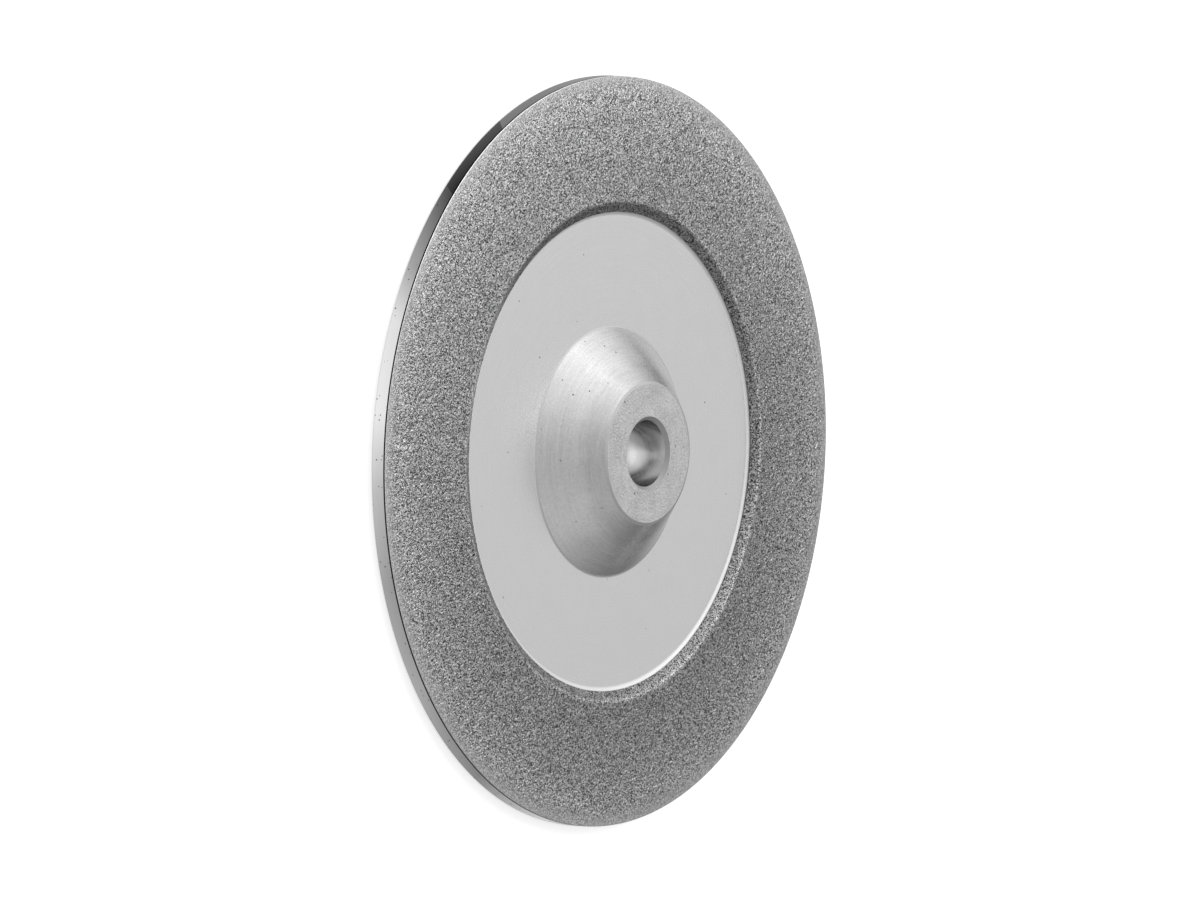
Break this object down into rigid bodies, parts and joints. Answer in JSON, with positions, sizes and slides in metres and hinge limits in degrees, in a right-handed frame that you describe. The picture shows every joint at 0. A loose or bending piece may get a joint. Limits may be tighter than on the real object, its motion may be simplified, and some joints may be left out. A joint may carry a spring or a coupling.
{
  "type": "tungsten grinding disc",
  "caption": "Flat-backed turned metal disc with a recessed web, a conical boss around its bore, and a raised, gently sloping ring coated with diamond grit for sharpening tungsten electrodes.",
  "frame": {"origin": "centre of the flat back face, on the bore's axis", "axes": "+Z along the bore's axis, from the back face out through the boss. X and Y lie in the back face, and either may be turned, because the disc is round."},
  "size_m": [0.09, 0.09, 0.008],
  "materials": {
    "turned_aluminium": "fine turned, satin",
    "diamond_grit": "rough, one layer of fine grains in a metal bond"
  },
  "bodies": {
    "root": {"disc_body": "turned_aluminium", "diamond_layer": "diamond_grit"}
  },
  "joints": []
}
